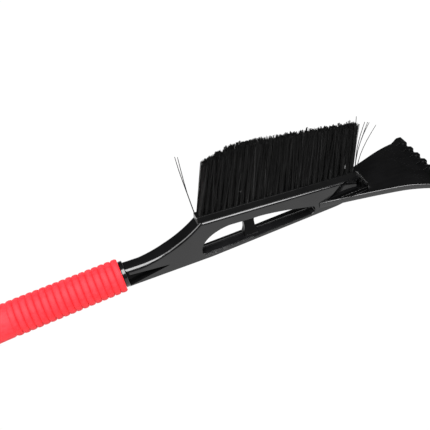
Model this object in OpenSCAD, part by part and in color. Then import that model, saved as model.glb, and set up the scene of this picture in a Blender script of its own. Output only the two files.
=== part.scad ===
// Windshield ice scraper with a snow brush on its frame.
// +X runs from the butt of the handle to the scraping edge, +Z is the bristle side,
// and the tool is symmetric about the XZ plane. Millimetres.

/* [Handle] */
// Length of the foam grip
grip_l = 194; // [150:1:240]
// Outer radius of the grip's ribs at the neck end
grip_r = 17.5; // [16:0.1:20]
// Extra rib radius at the last rib towards the butt
grip_taper = 0.8; // [0:0.1:1.5]
// Outer radius of the smooth palm swell
palm_r = 19.2; // [18.5:0.1:22]
// Length of the smooth palm swell
palm_l = 79; // [60:1:95]
// Number of ribs on the grip
rib_count = 17; // [10:1:22]
// Height of each rib above its groove
rib_h = 1.3; // [0.6:0.1:2]
// Outer radius of the core tube under the foam
core_r = 12.6; // [11.5:0.1:13.5]
// Wall of the core tube
core_wall = 2.8; // [2:0.1:3.5]
// Thickness of the end cap's flange
cap_t = 7; // [5:0.5:10]
// Length of the hanging eye behind the flange
eye_l = 13; // [11:0.5:18]
// Height of the hanging eye
eye_h = 15; // [13:0.5:18]
// Thickness of the hanging eye
eye_t = 5; // [4:0.5:7]
// Depth that the end cap's plug enters the core tube
plug_l = 18; // [12:1:26]
// Radius of the hanging hole in the end cap
hang_r = 3.2; // [2.5:0.1:4]

/* [Frame] */
// Width of the frame, side to side
frame_w = 18.3; // [16:0.1:24]
// Length of the neck, from the collar to the brush bar
neck_l = 87; // [75:1:100]
// Length of the brush bar
bar_l = 172.6; // [155:0.5:200]
// Height of the brush bar's rear end above the handle's axis
bar_h = 30.6; // [27:0.1:34]
// Downward tilt of the brush bar, in degrees
bar_tilt = 6.93; // [5:0.1:8]
// Depth of the frame's underside below the handle's axis
keel_h = 15.8; // [14.5:0.1:18]
// Radius of the collar that the grip stops at
collar_r = 13.7; // [13.6:0.1:16]
// Width of the strut across the window
strut_w = 13.8; // [10:0.1:18]
// Depth of the strut, side to side
strut_d = 10; // [8:0.5:16]

/* [Brush] */
// Number of tufts in a row
tuft_count = 28; // [18:1:32]
// Radius of one tuft
tuft_r = 1.5; // [1.2:0.1:1.6]
// Distance between the rows
row_gap = 3; // [2.8:0.1:3.4]
// Height of the bristle bed above the bar
bed_h = 6; // [4:0.1:7.5]
// Depth of each tuft hole
hole_d = 10; // [8:0.5:12]
// Trimmed height of the bristles above the bed, carried back to the rear end
trim_rear = 72.5; // [55:0.5:85]
// Trimmed height of the bristles above the bed at the front end
trim_front = 56; // [45:0.5:70]
// Height that the trim falls away by at the rear end
shoulder_h = 13; // [0:1:16]
// Length over which the trim falls away
shoulder_l = 45; // [30:1:60]
// Forward lean of the rearmost tuft from square to the bar, in degrees
lean_rear = 11; // [0:1:14]
// Forward lean of the foremost tuft from square to the bar, in degrees
lean_front = 2; // [0:1:8]

/* [Scraper head] */
// Length from the fork's tips to the scraping edge
head_l = 133; // [115:1:150]
// Half width of the blade at the scraping edge
edge_half = 50.5; // [42:0.5:56]
// Thickness of the blade
blade_t = 6; // [5:0.1:7.5]
// Number of ice ribs across the blade, an odd number
rib_n = 7; // [5:2:7]
// Height of the ice ribs above the blade
ice_rib_h = 4.2; // [2:0.1:5]
// Length of the ice ribs
ice_rib_l = 16; // [10:0.5:22]
// Width of one ice rib
ice_rib_w = 5.2; // [4:0.1:6]

/* [Hidden] */
$fn = 96;
eps = 0.01;
fit = 0.15;              // clearance between moulded pieces that slide together
snug = 0.05;             // clearance between a tuft and its hole

// Stations along X, measured from the butt
grip_x0 = eye_l + cap_t;
grip_x1 = grip_x0 + grip_l;
collar_gap = 0.2;
collar_x0 = grip_x1 + collar_gap;
collar_t = 4.1;
collar_x1 = collar_x0 + collar_t;
core_bore_l = collar_x0 - 6 - grip_x0;   // the core's bore is blind at the neck
bar_x0 = collar_x1 + neck_l;
bar_x1 = bar_x0 + bar_l;
fork_x = bar_x1 - 48.2;            // tips of the head's fork
edge_x = fork_x + head_l;          // scraping edge
overall_l = edge_x;
half_w = frame_w / 2;

// Bar: its top is a line that falls towards the front
function bar_top(x) = bar_h - tan(bar_tilt) * (x - bar_x0);

// Ramp from the neck up to the bar: an arc that starts level
ramp_x = collar_x1 + 17;
ramp_z = collar_r * 0.66;
ramp_dx = bar_x0 - 1.6 - ramp_x;
ramp_dz = bar_h + 1.2 - ramp_z;
ramp_r = (pow(ramp_dx, 2) + pow(ramp_dz, 2)) / (2 * ramp_dz);
ramp_a = asin(ramp_dx / ramp_r);
ramp_n = 24;

// Underside of the frame
keel_in = 11.2;                    // depth of the neck at the collar
keel_x = bar_x0 + 2;
nose_x = bar_x1 - 3;               // front face of the hub
lift_x = bar_x1 - 31;              // where the underside starts to rise

// Window
rail_rear = 8.9;                   // rail height at the window's rear end
rail_front = 4.2;                  // rail height at the window's front end
rail_side = 3.2;                   // rail height at its two sides
sill_flat = 7;                     // half width of the sill's gentle middle part
sill_drop = 2.4;                   // fall of that part from the middle line
win_x0 = bar_x0 - 8;
win_x1 = bar_x1 - 54.2;
strut_x = bar_x0 + 41;
web_rear = 11.4;                   // bar height over the rear cell
win_end_h = 9.4;                   // height of the window's front end

// Blade: level, then an arc that bends down to the edge
blade_z = -1.9;                    // top of the blade behind the bend
bend_r = 125;
bend_l = 52;                       // length of the bent part
bend_x = edge_x - bend_l;
edge_t = 2.2;                      // thickness left at the scraping edge
fork_half = half_w + 0.9;
flare = 0.245;                     // slope of the blade's sides at the fork
flare_l = edge_x - fork_x;
flare_k = (edge_half - fork_half - flare * flare_l) / pow(flare_l, 3);
hub_gap = fit;
tang_w = 9;
tang_t = 3.2;
tang_l = 22;
tang_z = -7.2;                     // underside of the tang
pocket_d = 3.4;                    // depth of the recesses beside the hub
rim_w = 2.4;                       // rim left outside each recess
pocket_x1 = bar_x1 + 4;
ice_ramp_l = 0.5 * ice_rib_l;      // where the ribs reach their full height
rib_pitch = (edge_half - ice_rib_w - 0.3) / ((rib_n - 1) / 2 + 0.4);
corner_w = 10;                     // width of the solid corner blocks
hump_l = 36;

function blade_top(x) = x < bend_x ? blade_z : blade_z - (bend_r - sqrt(bend_r * bend_r - pow(x - bend_x, 2)));
function half_at(x) = fork_half + flare * (x - fork_x) + flare_k * pow(x - fork_x, 3);

// The tool lies on its lowest point: the palm swell, the keel or the blade's edge
rest_z = max(palm_r, keel_h, edge_t - blade_top(edge_x));

// Tufts
bed_margin = 3;                    // bed left beyond the end tufts
bed_u0 = -4.5;                     // rear end of the bed, behind the bar's end
bed_u1 = bar_l - 0.8;              // front end of the bed
bed_half = row_gap + tuft_r + 0.6;
bed_root = 2.5;                    // how far the bed runs into the bar
bed_foot = bed_half + 1.2;         // half width of the bed where it meets the bar
tuft_pitch = (bed_u1 - bed_u0 - 2 * bed_margin - 2 * tuft_r) / (tuft_count - 1);
anchor_w = 2 * tuft_r - 0.5;

// A row is shifted by half a pitch when stagger is 1
function tuft_n(stagger) = tuft_count - stagger;
function tuft_u(i, stagger) = bed_u0 + bed_margin + tuft_r + (i + stagger / 2) * tuft_pitch;
function part_way(u) = u / bar_l;
function lean_at(u) = lean_rear + (lean_front - lean_rear) * part_way(u);
function shoulder_at(u) = shoulder_h * pow(max(0, 1 - u / shoulder_l), 1.6);
function trim_at(u) = trim_rear + (trim_front - trim_rear) * part_way(u) - shoulder_at(u);

module place() translate([-overall_l / 2, 0, rest_z]) children();
module side_extrude(w) translate([0, w / 2, 0]) rotate([90, 0, 0]) linear_extrude(w) children();
// Local frame on the bar: X along its top from the rear end, Z square to it
module on_bar() translate([bar_x0, 0, bar_h]) rotate([0, bar_tilt, 0]) children();
module both_sides() for (s = [0, 1]) mirror([0, s, 0]) children();

// ---- frame ----
module frame_outline() polygon(concat(
    [[collar_x1 - 1, -keel_in], [collar_x1 - 1, keel_in - 0.6]],
    [for (i = [0 : ramp_n]) let (a = ramp_a * i / ramp_n)
        [ramp_x + ramp_r * sin(a), ramp_z + ramp_r * (1 - cos(a))]],
    [[bar_x0 + 0.6, bar_top(bar_x0 + 0.6)], [bar_x1, bar_top(bar_x1)]],
    [[nose_x, bar_top(bar_x1) - 3], [nose_x, blade_z - blade_t - 0.4]],
    [for (i = [0 : 8]) let (t = i / 8)
        [nose_x + (lift_x - nose_x) * t, -keel_h + (keel_h + blade_z - blade_t - 0.4) * pow(1 - t, 2)]],
    [[keel_x, -keel_h]]
));

// Rear cell of the window: a round rear end that leans with the neck
module rear_cell() {
    r = 2.2;
    top = bar_top(win_x0 + 34) - web_rear;
    low = -keel_h + rail_rear;
    span = strut_x - win_x0;
    polygon(concat(
        [for (i = [0 : 6]) let (a = 200 + 70 * i / 6) [win_x0 + r + r * cos(a), low + r + r * sin(a)]],
        [[strut_x, low - 0.03 * span]],
        [[strut_x, bar_top(strut_x) - web_rear]],
        [for (i = [0 : 12]) let (t = i / 12)
            [win_x0 + 34 - 34 * sin(90 * t) + 0.6 * t, top - (top - low - 2.6) * (1 - cos(90 * t))]]
    ));
}

// Front cell: tapers to a small round end
module front_cell() {
    x0 = strut_x + strut_w;
    low0 = -keel_h + rail_rear - 0.03 * (x0 - win_x0);
    low1 = -keel_h + rail_front;
    r = win_end_h / 2;
    top0 = bar_top(x0) - web_rear;
    polygon(concat(
        [[x0, low0]],
        [for (i = [0 : 10]) let (a = -90 + 165 * i / 10) [win_x1 - 0.8 * r + 0.8 * r * cos(a), low1 + r + r * sin(a)]],
        [for (i = [1 : 8]) let (t = i / 8, x = win_x1 - 4 + (x0 - win_x1 + 4) * t)
            [x, low1 + win_end_h - 0.2 + (top0 - low1 - win_end_h + 0.2) * (1 - pow(1 - t, 1.35))]]
    ));
}

// Wedges that slope the window's sill down from its middle line, gently and then steeply
module sill_wedge(x, y0, z0, y1, z1) translate([x, 0, 0]) rotate([90, 0, 90]) linear_extrude(0.1)
    polygon([[y0, z0], [y1, z1], [y1, z0 + 2], [y0, z0 + 2]]);

module sill_slope() {
    rear = rail_rear - keel_h - 0.1;
    front = rail_front - keel_h + 0.2;
    low = rail_side - keel_h;
    front_knee = max(front - sill_drop, low + 0.3);
    side_y = half_w + 0.4;
    both_sides() hull() {
        sill_wedge(win_x0 + 2.5, 0.4, rear, sill_flat, rear - sill_drop);
        sill_wedge(win_x1 - 4, 0.4, front, sill_flat, front_knee);
    }
    both_sides() hull() {
        sill_wedge(win_x0 + 2.5, sill_flat - eps, rear - sill_drop, side_y, low);
        sill_wedge(win_x1 - 4, sill_flat - eps, front_knee, side_y, low);
    }
}

// Recess along the neck that runs out to a point
module neck_recess() both_sides() translate([0, -half_w - 3, 0]) rotate([90, 0, 0]) mirror([0, 0, 1])
    linear_extrude(3 + 4.4)
        polygon([[collar_x1 + 0.3, 4.2], [collar_x1 + 0.3, -9.6], [collar_x1 + 43.5, -3.7], [collar_x1 + 43.5, -3.1]]);

// Scoop that narrows the nose of the bar on each side
module nose_scoop() both_sides() hull() {
    translate([bar_x1 - 8.5, -half_w - 13.5, bar_top(bar_x1) + 8]) cylinder(r = 14.6, h = 0.1, $fn = 48);
    translate([bar_x1 - 16, -half_w - 49.6, blade_z]) cylinder(r = 54, h = 0.1, $fn = 96);
}

// Section of the bristle bed: its sides lean in towards the tufts
module bed_section() polygon([
    [-bed_foot, -bed_root], [bed_foot, -bed_root], [bed_foot, 0], [bed_half, bed_h], [-bed_half, bed_h], [-bed_foot, 0]
]);

module tuft_holes() for (row = [-1, 0, 1], i = [0 : tuft_n(abs(row) == 1 ? 0 : 1) - 1]) {
    u = tuft_u(i, abs(row) == 1 ? 0 : 1);
    on_bar() translate([u, row * row_gap, bed_h]) rotate([0, lean_at(u), 0])
        translate([0, 0, -hole_d]) cylinder(r = tuft_r + snug, h = hole_d + 3);
}

module frame() color("#161617") place() difference() {
    union() {
        difference() {
            side_extrude(frame_w) difference() {
                frame_outline();
                rear_cell();
                front_cell();
            }
            sill_slope();
        }
        side_extrude(strut_d) translate([strut_x - eps, -keel_h + 4])
            square([strut_w + 2 * eps, bar_top(strut_x) - 8 + keel_h - 4]);
        translate([collar_x0, 0, 0]) rotate([0, 90, 0]) cylinder(r = collar_r, h = collar_t);
        translate([grip_x0, 0, 0]) rotate([0, 90, 0]) cylinder(r = core_r, h = collar_x1 - grip_x0 - 1);
        on_bar() translate([bed_u0, 0, 0]) rotate([90, 0, 90]) linear_extrude(bed_u1 - bed_u0) bed_section();
    }
    translate([grip_x0 - 1, 0, 0]) rotate([0, 90, 0]) cylinder(r = core_r - core_wall, h = core_bore_l + 1);
    neck_recess();
    nose_scoop();
    tuft_holes();
    translate([nose_x - tang_l - 1, -tang_w / 2 - fit, tang_z - fit]) cube([tang_l + 5, tang_w + 2 * fit, tang_t + 2 * fit]);
}

// ---- scraper head ----
blade_n = 30;
function blade_x(i) = fork_x + flare_l * i / blade_n;

module blade_plan() polygon(concat(
    [for (i = [0 : blade_n]) [blade_x(i), -half_at(blade_x(i))]],
    [for (i = [blade_n : -1 : 0]) [blade_x(i), half_at(blade_x(i))]]
));

// Side view of the blade: one thickness, thinning to the scraping edge
function thin_at(x) = x < bend_x ? blade_t : blade_t - (blade_t - edge_t) * pow((x - bend_x) / bend_l, 3);
module blade_side(rise = 0) polygon(concat(
    [for (i = [0 : blade_n]) [blade_x(i), blade_top(blade_x(i)) + rise]],
    [for (i = [blade_n : -1 : 0]) [blade_x(i), blade_top(blade_x(i)) - thin_at(blade_x(i))]]
));

module ice_ribs() {
    intersection() {
        side_extrude(3 * edge_half) intersection() {
            blade_side(ice_rib_h);
            polygon([
                [edge_x - ice_rib_l, -60], [edge_x + 1, -60], [edge_x + 1, 40], [edge_x - ice_ramp_l, 40],
                [edge_x - ice_ramp_l, blade_top(edge_x - ice_ramp_l) + ice_rib_h],
                [edge_x - ice_rib_l, blade_top(edge_x - ice_rib_l)]
            ]);
        }
        linear_extrude(200, center = true) intersection() {
            blade_plan();
            union() {
                for (k = [-(rib_n - 1) / 2 : (rib_n - 1) / 2])
                    translate([edge_x - ice_rib_l, k * rib_pitch - ice_rib_w / 2]) square([ice_rib_l + 1, ice_rib_w]);
                for (s = [-1, 1])
                    translate([edge_x - ice_rib_l, s * edge_half - (s > 0 ? corner_w : 0)])
                        square([ice_rib_l + 1, corner_w]);
            }
        }
    }
}

// Hump that carries the line of the bar down to the blade
module hump() intersection() {
    side_extrude(2 * edge_half) polygon(concat(
        [[nose_x + 0.3, blade_z - 1], [nose_x + 0.3, bar_top(bar_x1) - 3.2], [bar_x1 + 0.3, bar_top(bar_x1) - 0.2]],
        [for (i = [0 : 10]) let (t = i / 10)
            [bar_x1 + 0.3 + hump_l * t, blade_z - 0.2 + (bar_top(bar_x1) - blade_z) * pow(1 - t, 2)]]
    ));
    linear_extrude(60, center = true) polygon([
        [nose_x, -half_w], [bar_x1 + 4, -half_w], [bar_x1 + 14, -half_at(bar_x1 + 14) + 3],
        [bar_x1 + hump_l + 1, -half_at(bar_x1 + hump_l) + 3], [bar_x1 + hump_l + 1, half_at(bar_x1 + hump_l) - 3],
        [bar_x1 + 14, half_at(bar_x1 + 14) - 3], [bar_x1 + 4, half_w], [nose_x, half_w]
    ]);
}

module head_recess() both_sides() translate([0, 0, blade_z - pocket_d]) linear_extrude(pocket_d + 1)
    difference() {
        polygon([
            [fork_x + 9, half_w + hub_gap], [pocket_x1 - 1, half_w + hub_gap],
            [pocket_x1 - 4, half_at(pocket_x1 - 4) - rim_w], [fork_x + 14, half_at(fork_x + 14) - rim_w]
        ]);
        translate([fork_x + 24, half_w + 2.6]) square([60, 1.3]);
    }

module scraper_head() color("#1b1b1c") place() difference() {
    union() {
        intersection() {
            side_extrude(3 * edge_half) blade_side();
            linear_extrude(200, center = true) blade_plan();
        }
        ice_ribs();
        hump();
        translate([nose_x - tang_l, -tang_w / 2, tang_z]) cube([tang_l + 4, tang_w, tang_t]);
    }
    difference() {
        translate([fork_x - 1, -half_w - hub_gap, -30]) cube([nose_x - fork_x + 1 + fit, frame_w + 2 * hub_gap, 60]);
        translate([nose_x - tang_l - 1, -tang_w / 2, tang_z]) cube([tang_l + 4, tang_w, tang_t]);
    }
    head_recess();
    nose_scoop();
}

// ---- handle ----
groove_pitch = (grip_l - palm_l) / rib_count;
function rib_r(x) = grip_r + grip_taper * (grip_x1 - x) / (grip_l - palm_l);

module foam_grip() color("#ff4049") place() rotate([0, 90, 0]) rotate_extrude() {
    x0 = grip_x0 + palm_l;
    foot = palm_r - 4.5;
    polygon(concat(
        [[core_r + fit, grip_x0], [foot, grip_x0]],
        [for (i = [1 : 8]) let (a = 90 * i / 8) [foot + 4.5 * sin(a), grip_x0 + 6 * (1 - cos(a))]],
        [for (i = [1 : 8]) let (t = i / 8)
            [palm_r + (rib_r(x0) - 0.3 - palm_r) * (1 - cos(180 * t)) / 2, grip_x0 + 30 + (palm_l - 33) * t]],
        [for (k = [0 : rib_count - 1], j = [0 : 6]) let (t = j / 6, x = x0 + (k + t) * groove_pitch)
            [rib_r(x) - rib_h + rib_h * pow(sin(180 * t), 0.6), x]],
        [[core_r + fit, grip_x1]]
    ));
}

module end_cap() color("#1c1c1e") place() {
    plug_r = core_r - core_wall - fit;
    dome_r = palm_r - 5.5;
    translate([eye_l, 0, 0]) rotate([0, 90, 0]) rotate_extrude() polygon(concat(
        [[0, 0], [dome_r - 5, 0]],
        [for (i = [1 : 8]) let (a = 90 * i / 8) [dome_r - 5 + 5 * sin(a), 4.4 * (1 - cos(a))]],
        [[dome_r, cap_t - 0.2], [plug_r, cap_t - 0.2], [plug_r, cap_t + plug_l - 1.5],
         [plug_r - 1.5, cap_t + plug_l], [plug_r - 3, cap_t + plug_l], [plug_r - 3, cap_t], [0, cap_t]]
    ));
    difference() {
        side_extrude(eye_t) union() {
            translate([eye_h / 2, 0]) circle(r = eye_h / 2);
            translate([eye_h / 2, -eye_h / 2]) square([eye_l - eye_h / 2 + 2, eye_h]);
        }
        translate([eye_h / 2, 0, 0]) rotate([90, 0, 0]) cylinder(r = hang_r, h = 2 * eye_t, center = true);
    }
}

// ---- tufts and their anchors ----
module tuft_row(row, stagger) color("#262627") place() for (i = [0 : tuft_n(stagger) - 1]) {
    u = tuft_u(i, stagger);
    on_bar() translate([u, row * row_gap, bed_h]) rotate([0, lean_at(u), 0])
        translate([0, 0, -hole_d + 1.2]) cylinder(r = tuft_r, h = trim_at(u) + hole_d - 1.2);
}

module anchor_row(row, stagger) color("#b9bcc0") place() for (i = [0 : tuft_n(stagger) - 1]) {
    u = tuft_u(i, stagger);
    on_bar() translate([u, row * row_gap, bed_h]) rotate([0, lean_at(u), 0])
        translate([-anchor_w / 2, -0.25, -hole_d + 0.1]) cube([anchor_w, 0.5, 1]);
}

frame();
scraper_head();
foam_grip();
end_cap();
tuft_row(1, 0);  // tufts_left_row
tuft_row(0, 1);  // tufts_middle_row
tuft_row(-1, 0);  // tufts_right_row
anchor_row(1, 0);  // anchors_left_row
anchor_row(0, 1);  // anchors_middle_row
anchor_row(-1, 0);  // anchors_right_row
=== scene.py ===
"""Windshield ice scraper with a snow brush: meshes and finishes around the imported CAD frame.

+X runs from the butt of the handle to the scraping edge and +Z is the bristle side. Lengths are metres.
"""

from __future__ import annotations

import logging
import math
import random
from collections.abc import Callable, Iterable
from dataclasses import dataclass, field
from enum import Enum

import bmesh
import bpy
from mathutils import Matrix, Vector, noise


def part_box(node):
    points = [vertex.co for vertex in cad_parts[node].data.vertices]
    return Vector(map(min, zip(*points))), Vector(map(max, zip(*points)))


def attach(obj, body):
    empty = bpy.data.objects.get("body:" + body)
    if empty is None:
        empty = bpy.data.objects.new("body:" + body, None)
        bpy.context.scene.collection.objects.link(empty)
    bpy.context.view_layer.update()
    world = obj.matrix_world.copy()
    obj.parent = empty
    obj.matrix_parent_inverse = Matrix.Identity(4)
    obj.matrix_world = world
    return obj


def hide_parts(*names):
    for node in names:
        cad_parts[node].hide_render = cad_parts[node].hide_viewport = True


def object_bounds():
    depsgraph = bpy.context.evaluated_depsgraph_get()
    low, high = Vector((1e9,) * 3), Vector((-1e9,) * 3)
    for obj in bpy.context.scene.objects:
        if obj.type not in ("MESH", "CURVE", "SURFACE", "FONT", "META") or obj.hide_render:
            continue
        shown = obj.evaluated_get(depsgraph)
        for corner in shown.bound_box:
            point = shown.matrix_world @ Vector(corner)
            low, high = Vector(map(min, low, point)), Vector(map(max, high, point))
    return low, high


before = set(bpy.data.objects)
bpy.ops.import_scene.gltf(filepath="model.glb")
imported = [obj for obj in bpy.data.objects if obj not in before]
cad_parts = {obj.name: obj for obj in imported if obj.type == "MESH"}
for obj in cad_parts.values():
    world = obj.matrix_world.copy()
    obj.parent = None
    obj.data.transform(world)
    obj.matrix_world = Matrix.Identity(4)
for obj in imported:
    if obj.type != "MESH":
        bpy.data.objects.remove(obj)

CAD_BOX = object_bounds()
MM = 0.001
log = logging.getLogger("ice_scraper")

Point = tuple[float, float]
Corner = tuple[float, float, float]
Colour = tuple[float, float, float]


# ---- small shape helpers ----


def arc(centre: Point, radius: float, start: float, stop: float, steps: int) -> list[Point]:
    """Points along an arc in a plane.

    Args:
        centre: Centre of the arc.
        radius: Radius of the arc.
        start: First angle in degrees.
        stop: Last angle in degrees.
        steps: Number of chords.

    Returns:
        The points, both ends included.
    """
    angles = [math.radians(start + (stop - start) * i / steps) for i in range(steps + 1)]
    return [(centre[0] + radius * math.cos(a), centre[1] + radius * math.sin(a)) for a in angles]


def filleted(corners: list[Corner], steps: int = 6) -> list[Point]:
    """Rounds the corners of a closed outline.

    Args:
        corners: Corner positions, each with its fillet radius.
        steps: Number of chords on each fillet.

    Returns:
        The outline's points.
    """
    points: list[Point] = []
    for i, (x, y, radius) in enumerate(corners):
        here = Vector((x, y))
        if radius <= 0:
            points.append((x, y))
            continue
        before = (Vector(corners[i - 1][:2]) - here).normalized()
        after = (Vector(corners[(i + 1) % len(corners)][:2]) - here).normalized()
        half = before.angle(after) / 2
        reach = radius / math.tan(half)
        centre = here + (before + after).normalized() * (radius / math.sin(half))
        first = here + before * reach - centre
        turn = first.angle_signed(here + after * reach - centre)
        for k in range(steps + 1):
            spoke = first.copy()
            spoke.rotate(Matrix.Rotation(-turn * k / steps, 2))
            points.append(tuple(centre + spoke))
    return points


def eased(t: float) -> float:
    """Smooth step from 0 to 1."""
    t = min(1.0, max(0.0, t))
    return t * t * (3 - 2 * t)


def of_kind(items: Iterable, kind: type) -> list:
    """Picks the vertices, edges or faces out of what a mesh operator returns."""
    return [item for item in items if isinstance(item, kind)]


def add_body(target: bmesh.types.BMesh, body: bmesh.types.BMesh) -> None:
    """Adds one closed body to a piece and frees it.

    Args:
        target: The piece's mesh.
        body: The closed body.
    """
    bmesh.ops.remove_doubles(body, verts=body.verts, dist=1e-7)
    bmesh.ops.recalc_face_normals(body, faces=body.faces)
    scratch = bpy.data.meshes.new("scratch")
    body.to_mesh(scratch)
    target.from_mesh(scratch)
    bpy.data.meshes.remove(scratch)
    body.free()


def inward(loop: list[Corner], hole: bool) -> list[Vector]:
    """Mitred offsets of an outline's points into the solid, for one unit of distance.

    Args:
        loop: The outline's points, each with its edge radius.
        hole: Whether the solid lies outside the outline.

    Returns:
        One offset for each point.
    """
    here = [Vector(point[:2]) for point in loop]
    area = sum(a.x * b.y - b.x * a.y for a, b in zip(here, here[1:] + here[:1]))
    turn = (1 if area > 0 else -1) * (-1 if hole else 1)
    offsets = []
    for i, point in enumerate(here):
        before = (point - here[i - 1]).normalized()
        after = (here[(i + 1) % len(here)] - point).normalized()
        first, second = Vector((-before.y, before.x)) * turn, Vector((-after.y, after.x)) * turn
        offsets.append((first + second) / max(0.5, 1 + first.dot(second)))
    return offsets


def plate(outline: list[Corner], holes: list[list[Corner]], half_width: float, steps: int = 6
          ) -> bmesh.types.BMesh:
    """A flat plate in the XZ plane, with its own edge radius at each point of its outlines.

    Args:
        outline: Outer outline as (x, z, edge radius) points.
        holes: Outlines of the holes, in the same form.
        half_width: Half of the plate's width along Y.
        steps: Number of facets on each rounded edge.

    Returns:
        A closed body.
    """
    bm = bmesh.new()
    rim: list[bmesh.types.BMEdge] = []
    for number, loop in enumerate([outline, *holes]):
        offsets = inward(loop, number > 0)
        verts = [bm.verts.new((x, 0, z)) for x, z, _ in loop]
        edges = [bm.edges.new((verts[i - 1], vert)) for i, vert in enumerate(verts)]
        for k in range(steps + 1):
            turn = math.pi / 2 * k / steps
            grown = bmesh.ops.extrude_edge_only(bm, edges=edges)["geom"]
            fresh = set(of_kind(grown, bmesh.types.BMVert))
            edges = of_kind(grown, bmesh.types.BMEdge)
            verts = [next(edge.other_vert(vert) for edge in vert.link_edges if edge.other_vert(vert) in fresh)
                     for vert in verts]
            for vert, (x, z, radius), offset in zip(verts, loop, offsets):
                shift = offset * radius * (1 - math.cos(turn))
                vert.co = (x + shift.x, -half_width + radius * (1 - math.sin(turn)), z + shift.y)
        rim += edges
    bmesh.ops.triangle_fill(bm, use_beauty=True, edges=rim, normal=(0, -1, 0))
    bmesh.ops.mirror(bm, geom=[*bm.verts, *bm.edges, *bm.faces], matrix=Matrix.Identity(4),
                     merge_dist=1e-6, axis="Y")
    bmesh.ops.recalc_face_normals(bm, faces=bm.faces)
    return bm


def edged(points: Iterable[Point], radius: float) -> list[Corner]:
    """Gives every point of an outline the same edge radius."""
    return [(x, z, radius) for x, z in points]


def turned(profile: list[Point], axis_z: float, steps: int = 96) -> bmesh.types.BMesh:
    """A body turned about the handle's axis.

    Args:
        profile: (x, radius) points from one end to the other, both on the axis or forming a closed ring.
        axis_z: Height of the handle's axis.
        steps: Number of facets round the axis.

    Returns:
        The turned body.
    """
    bm = bmesh.new()
    verts = [bm.verts.new((x, 0, axis_z + radius)) for x, radius in profile]
    edges = [bm.edges.new(pair) for pair in zip(verts, verts[1:])]
    if profile[0][1] > 0:
        edges.append(bm.edges.new((verts[-1], verts[0])))
    bmesh.ops.spin(bm, geom=verts + edges, cent=(0, 0, axis_z), axis=(1, 0, 0), dvec=(0, 0, 0),
                   angle=2 * math.pi, steps=steps, use_merge=True, use_duplicate=False)
    bmesh.ops.remove_doubles(bm, verts=bm.verts, dist=1e-7)
    return bm


def prism(outline: list[Point], axis: int, low: float, high: float) -> bmesh.types.BMesh:
    """A straight prism along Y or Z.

    Args:
        outline: (x, z) points for a prism along Y, or (x, y) points for one along Z.
        axis: 1 for Y or 2 for Z.
        low: One end along that axis.
        high: The other end.

    Returns:
        A closed body.
    """
    bm = bmesh.new()
    ring = [(x, low, other) if axis == 1 else (x, other, low) for x, other in outline]
    face = bm.faces.new([bm.verts.new(corner) for corner in ring])
    raised = bmesh.ops.extrude_face_region(bm, geom=[face])["geom"]
    path = Vector((0, 0, 0))
    path[axis] = high - low
    bmesh.ops.translate(bm, verts=of_kind(raised, bmesh.types.BMVert), vec=path)
    return bm


def block(centre: Vector, size: Vector, edge_round: float, segments: int = 3) -> bmesh.types.BMesh:
    """A block with rounded edges.

    Args:
        centre: Middle of the block.
        size: Its full size.
        edge_round: Radius of its edges.
        segments: Facets on each edge.

    Returns:
        A closed body.
    """
    bm = bmesh.new()
    place = Matrix.Translation(centre) @ Matrix.Diagonal((*size, 1))
    bmesh.ops.create_cube(bm, size=1, matrix=place)
    bmesh.ops.bevel(bm, geom=list(bm.edges), affect="EDGES", offset=edge_round, segments=segments,
                    profile=0.5, material=-1)
    return bm


def sliced(bm: bmesh.types.BMesh, axis: Vector, places: Iterable[float]) -> None:
    """Divides a body's faces square to an axis, so that it can be bent there.

    Args:
        bm: The body, which stays whole.
        axis: Direction of the axis.
        places: Distances of the divisions from the origin.
    """
    for place in places:
        bmesh.ops.bisect_plane(bm, geom=[*bm.verts, *bm.edges, *bm.faces], plane_co=axis * place,
                               plane_no=axis)


def new_wire(name: str, radius: float, facets: int) -> bpy.types.Curve:
    """Starts a round wire that lines can be added to.

    Args:
        name: The wire's name.
        radius: Its radius.
        facets: How finely its section is rounded, 0 for the coarsest.

    Returns:
        The empty wire.
    """
    curve = bpy.data.curves.new(name, "CURVE")
    curve.dimensions = "3D"
    curve.bevel_depth = radius
    curve.bevel_resolution = facets
    return curve


def add_line(curve: bpy.types.Curve, points: list[Vector]) -> bpy.types.Spline:
    """Adds one line of straight stretches to a wire.

    Args:
        curve: The wire.
        points: The line's points in order.

    Returns:
        The new line.
    """
    spline = curve.splines.new("POLY")
    spline.points.add(len(points) - 1)
    spline.points.foreach_set("co", [value for point in points for value in (*point, 1)])
    return spline


def meshed(curve: bpy.types.Curve) -> bpy.types.Mesh:
    """Turns a finished wire into a mesh."""
    holder = bpy.data.objects.new("wire_holder", curve)
    bpy.context.scene.collection.objects.link(holder)
    bpy.context.view_layer.update()
    mesh = bpy.data.meshes.new_from_object(evaluated(holder))
    bpy.data.objects.remove(holder)
    return mesh


def evaluated(holder: bpy.types.Object) -> bpy.types.Object:
    """An object as it is after its modifiers and curve settings."""
    return holder.evaluated_get(bpy.context.evaluated_depsgraph_get())


def to_object(bm: bmesh.types.BMesh, name: str, crease: float = 32.0) -> bpy.types.Object:
    """Turns a mesh into an object in the scene, smooth except at sharp edges.

    Args:
        bm: The piece's mesh, freed here.
        name: The object's name.
        crease: Edges that turn more than this many degrees stay sharp.

    Returns:
        The new object.
    """
    mesh = bpy.data.meshes.new(name)
    bm.to_mesh(mesh)
    bm.free()
    mesh.polygons.foreach_set("use_smooth", [True] * len(mesh.polygons))
    mesh.set_sharp_from_angle(angle=math.radians(crease))
    piece = bpy.data.objects.new(name, mesh)
    bpy.context.scene.collection.objects.link(piece)
    return piece


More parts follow.
